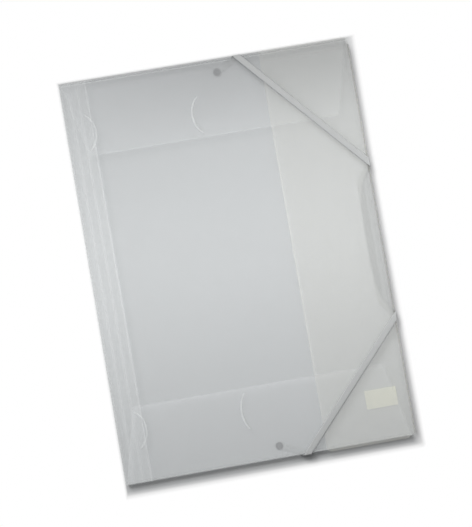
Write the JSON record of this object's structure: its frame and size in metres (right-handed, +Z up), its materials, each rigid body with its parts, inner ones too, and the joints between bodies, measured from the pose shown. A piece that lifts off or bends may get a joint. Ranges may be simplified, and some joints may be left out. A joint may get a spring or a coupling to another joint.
{
  "type": "elastic portfolio folder",
  "caption": "Flat folder of frosted clear plastic for large papers, with a hinged cover, folding inner flaps and a flat elastic looped over the corners.",
  "frame": {"origin": "under the middle of the closed folder, on the surface it lies on", "axes": "+X from the spine to the opening side, +Y from the bottom edge to the top edge, +Z up through the closed cover"},
  "size_m": [0.3134, 0.4342, 0.0093],
  "materials": {
    "frosted_sheet": "frosted, translucent, finely grained",
    "elastic_band": "flat woven elastic",
    "rivet_metal": "dark satin",
    "label_paper": "matt, blank"
  },
  "bodies": {
    "back": {"back_panel": "frosted_sheet", "elastic_top_leg": "elastic_band", "elastic_bottom_leg": "elastic_band", "elastic_back_run": "elastic_band", "top_rivet": "rivet_metal", "bottom_rivet": "rivet_metal", "top_rivet_washer": "rivet_metal", "bottom_rivet_washer": "rivet_metal", "back_label": "label_paper"},
    "spine": {"spine_wall": "frosted_sheet"},
    "cover": {"spine_strip_1": "frosted_sheet", "spine_strip_2": "frosted_sheet", "spine_strip_3": "frosted_sheet", "front_cover": "frosted_sheet"},
    "side_wall": {"side_flap_wall": "frosted_sheet"},
    "side": {"side_flap": "frosted_sheet"},
    "top_wall": {"top_flap_wall": "frosted_sheet"},
    "top": {"top_flap": "frosted_sheet"},
    "bottom_wall": {"bottom_flap_wall": "frosted_sheet"},
    "bottom": {"bottom_flap": "frosted_sheet"},
    "top_loop": {"elastic_top_strand": "elastic_band"},
    "bottom_loop": {"elastic_bottom_strand": "elastic_band"}
  },
  "joints": [
    {"name": "cover_open", "type": "hinge", "parent": "back", "child": "spine", "pos_m": [-0.15665, 0, 0.0007], "axis": [0, -1, 0], "range_deg": [0, 90]},
    {"name": "spine_edge_crease", "type": "hinge", "parent": "spine", "child": "cover", "pos_m": [-0.15665, 0, 0.0085], "axis": [0, -1, 0], "range_deg": [0, 90]},
    {"name": "side_wall_fold", "type": "hinge", "parent": "back", "child": "side_wall", "pos_m": [0.15585, 0, 0.0007], "axis": [0, 1, 0], "range_deg": [0, 90]},
    {"name": "side_flap_fold", "type": "hinge", "parent": "side_wall", "child": "side", "pos_m": [0.15585, 0, 0.0077], "axis": [0, 1, 0], "range_deg": [0, 90]},
    {"name": "top_wall_fold", "type": "hinge", "parent": "back", "child": "top_wall", "pos_m": [0, 0.21475, 0.0007], "axis": [-1, 0, 0], "range_deg": [0, 90]},
    {"name": "top_flap_fold", "type": "hinge", "parent": "top_wall", "child": "top", "pos_m": [0, 0.21475, 0.0069], "axis": [-1, 0, 0], "range_deg": [0, 90]},
    {"name": "bottom_wall_fold", "type": "hinge", "parent": "back", "child": "bottom_wall", "pos_m": [0, -0.21425, 0.0007], "axis": [1, 0, 0], "range_deg": [0, 90]},
    {"name": "bottom_flap_fold", "type": "hinge", "parent": "bottom_wall", "child": "bottom", "pos_m": [0, -0.21425, 0.0069], "axis": [1, 0, 0], "range_deg": [0, 90]},
    {"name": "elastic_top_loop_slip", "type": "hinge", "parent": "back", "child": "top_loop", "pos_m": [0.13141, 0.17971, 0.00455], "axis": [-0.6659, 0.746, 0], "range_deg": [0, 349.64], "deforming": ["elastic_top_strand"]},
    {"name": "elastic_bottom_loop_slip", "type": "hinge", "parent": "back", "child": "bottom_loop", "pos_m": [0.13246, -0.18321, 0.00455], "axis": [0.6762, 0.7367, 0], "range_deg": [0, 349.64], "deforming": ["elastic_bottom_strand"]}
  ],
  "couplings": [
    {"joint": "spine_edge_crease", "follows": "cover_open", "ratio": 1},
    {"joint": "side_wall_fold", "follows": "cover_open", "ratio": 1},
    {"joint": "side_flap_fold", "follows": "cover_open", "ratio": 1},
    {"joint": "top_wall_fold", "follows": "cover_open", "ratio": 0.24},
    {"joint": "top_flap_fold", "follows": "cover_open", "ratio": 0.24},
    {"joint": "bottom_wall_fold", "follows": "cover_open", "ratio": 0.24},
    {"joint": "bottom_flap_fold", "follows": "cover_open", "ratio": 0.24},
    {"joint": "elastic_top_loop_slip", "follows": "cover_open", "ratio": 3.8849},
    {"joint": "elastic_bottom_loop_slip", "follows": "cover_open", "ratio": 3.8849}
  ]
}
